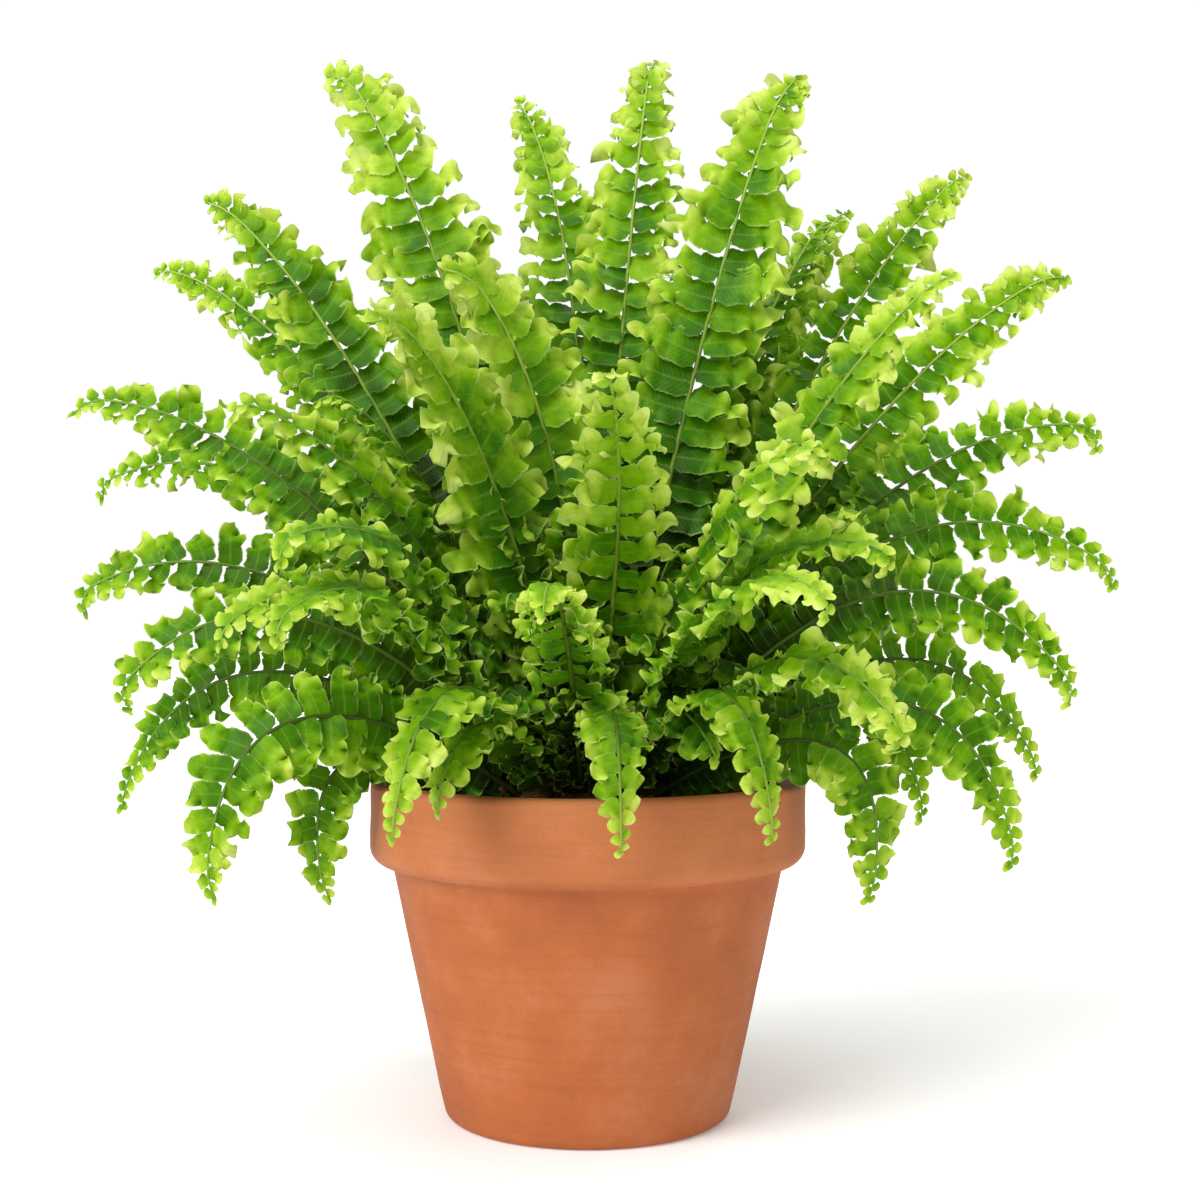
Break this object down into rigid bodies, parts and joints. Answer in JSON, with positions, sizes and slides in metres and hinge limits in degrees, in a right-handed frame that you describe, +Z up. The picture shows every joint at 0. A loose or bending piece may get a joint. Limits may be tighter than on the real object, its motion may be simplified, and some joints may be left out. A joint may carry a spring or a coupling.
{
  "type": "potted fern",
  "caption": "Ruffled sword fern, arching all round out of a low crown, growing in a plain round terracotta pot with a rolled rim band.",
  "frame": {"origin": "centre of the pot's underside, on the surface that the pot stands on", "axes": "+Z up, -Y towards the front of the plant as seen in the picture, +X to the right as seen from the front"},
  "size_m": [0.5032, 0.4043, 0.5151],
  "materials": {
    "terracotta": "matte unglazed fired clay",
    "potting_mix": "moist crumbly potting mix",
    "crown": "matte scaly rhizome",
    "frond": "satin living leaf"
  },
  "bodies": {
    "root": {"pot": "terracotta", "potting_mix": "potting_mix", "crown": "crown", "frond_01": "frond", "frond_02": "frond", "frond_03": "frond", "frond_04": "frond", "frond_05": "frond", "frond_06": "frond", "frond_07": "frond", "frond_08": "frond", "frond_09": "frond", "frond_10": "frond", "frond_11": "frond", "frond_12": "frond", "frond_13": "frond", "frond_14": "frond", "frond_15": "frond", "frond_16": "frond", "frond_17": "frond", "frond_18": "frond", "frond_19": "frond", "frond_20": "frond", "frond_21": "frond", "frond_22": "frond", "frond_23": "frond", "frond_24": "frond", "frond_25": "frond", "frond_26": "frond", "frond_27": "frond", "frond_28": "frond", "frond_29": "frond", "frond_30": "frond", "frond_31": "frond", "frond_32": "frond", "frond_33": "frond", "frond_34": "frond", "frond_35": "frond", "frond_36": "frond", "frond_37": "frond", "frond_38": "frond", "frond_39": "frond", "frond_40": "frond", "frond_41": "frond", "frond_42": "frond", "frond_43": "frond", "frond_44": "frond", "frond_45": "frond", "frond_46": "frond", "frond_47": "frond", "frond_48": "frond", "frond_49": "frond", "frond_50": "frond", "frond_51": "frond", "frond_52": "frond", "frond_53": "frond", "frond_54": "frond", "frond_55": "frond", "frond_56": "frond", "frond_57": "frond"}
  },
  "joints": []
}
